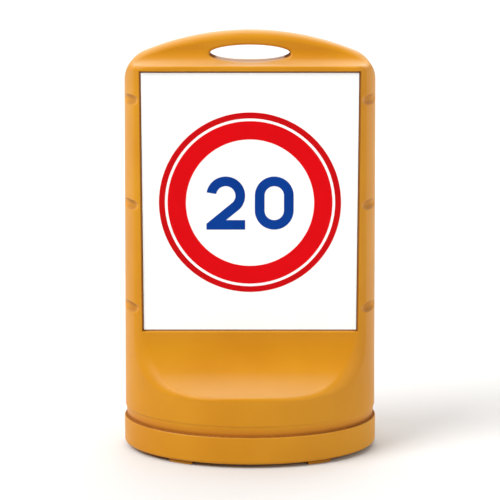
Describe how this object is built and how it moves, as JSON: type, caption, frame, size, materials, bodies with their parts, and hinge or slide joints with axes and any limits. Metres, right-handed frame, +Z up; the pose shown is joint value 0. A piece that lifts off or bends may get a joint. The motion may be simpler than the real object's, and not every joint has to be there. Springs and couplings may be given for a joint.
{
  "type": "freestanding sign",
  "caption": "Free-standing hollow plastic sign with an oval ballast base, a hand slot in the crown, a screw filler cap and a recessed sign plate on each face.",
  "frame": {"origin": "on the floor, under the middle of the base", "axes": "+Z up, the front face looks along -Y, +X to the right of somebody looking at the front"},
  "size_m": [0.4869, 0.332, 0.8],
  "materials": {
    "shell": "satin moulded polyethylene, orange yellow",
    "neck": "natural moulded polyethylene",
    "cap": "fine grained black moulding",
    "gasket": "matt",
    "plate": "smooth white sheet",
    "tape": "foam tape",
    "ring_film_dark": "satin cut film",
    "ring_film": "satin cut film",
    "numeral_film": "satin cut film"
  },
  "bodies": {
    "stand": {"body_shell": "shell", "filler_neck": "neck", "front_panel": "plate", "front_tape": "tape", "front_outer_ring": "ring_film_dark", "front_inner_ring": "ring_film", "front_numerals": "numeral_film", "rear_panel": "plate", "rear_tape": "tape", "rear_outer_ring": "ring_film_dark", "rear_inner_ring": "ring_film", "rear_numerals": "numeral_film"},
    "gasket": {"cap_gasket": "gasket"},
    "cap": {"filler_cap": "cap"}
  },
  "joints": [
    {"name": "cap_lift", "type": "slide", "parent": "stand", "child": "gasket", "axis": [0, 0, 1], "range_m": [0, 0.009]},
    {"name": "cap_turn", "type": "hinge", "parent": "gasket", "child": "cap", "pos_m": [0, 0.118, 0.14], "axis": [0, 0, 1], "range_deg": [0, 540]}
  ],
  "couplings": [
    {"joint": "cap_lift", "follows": "cap_turn", "m_per_rad": 0.00095492}
  ]
}
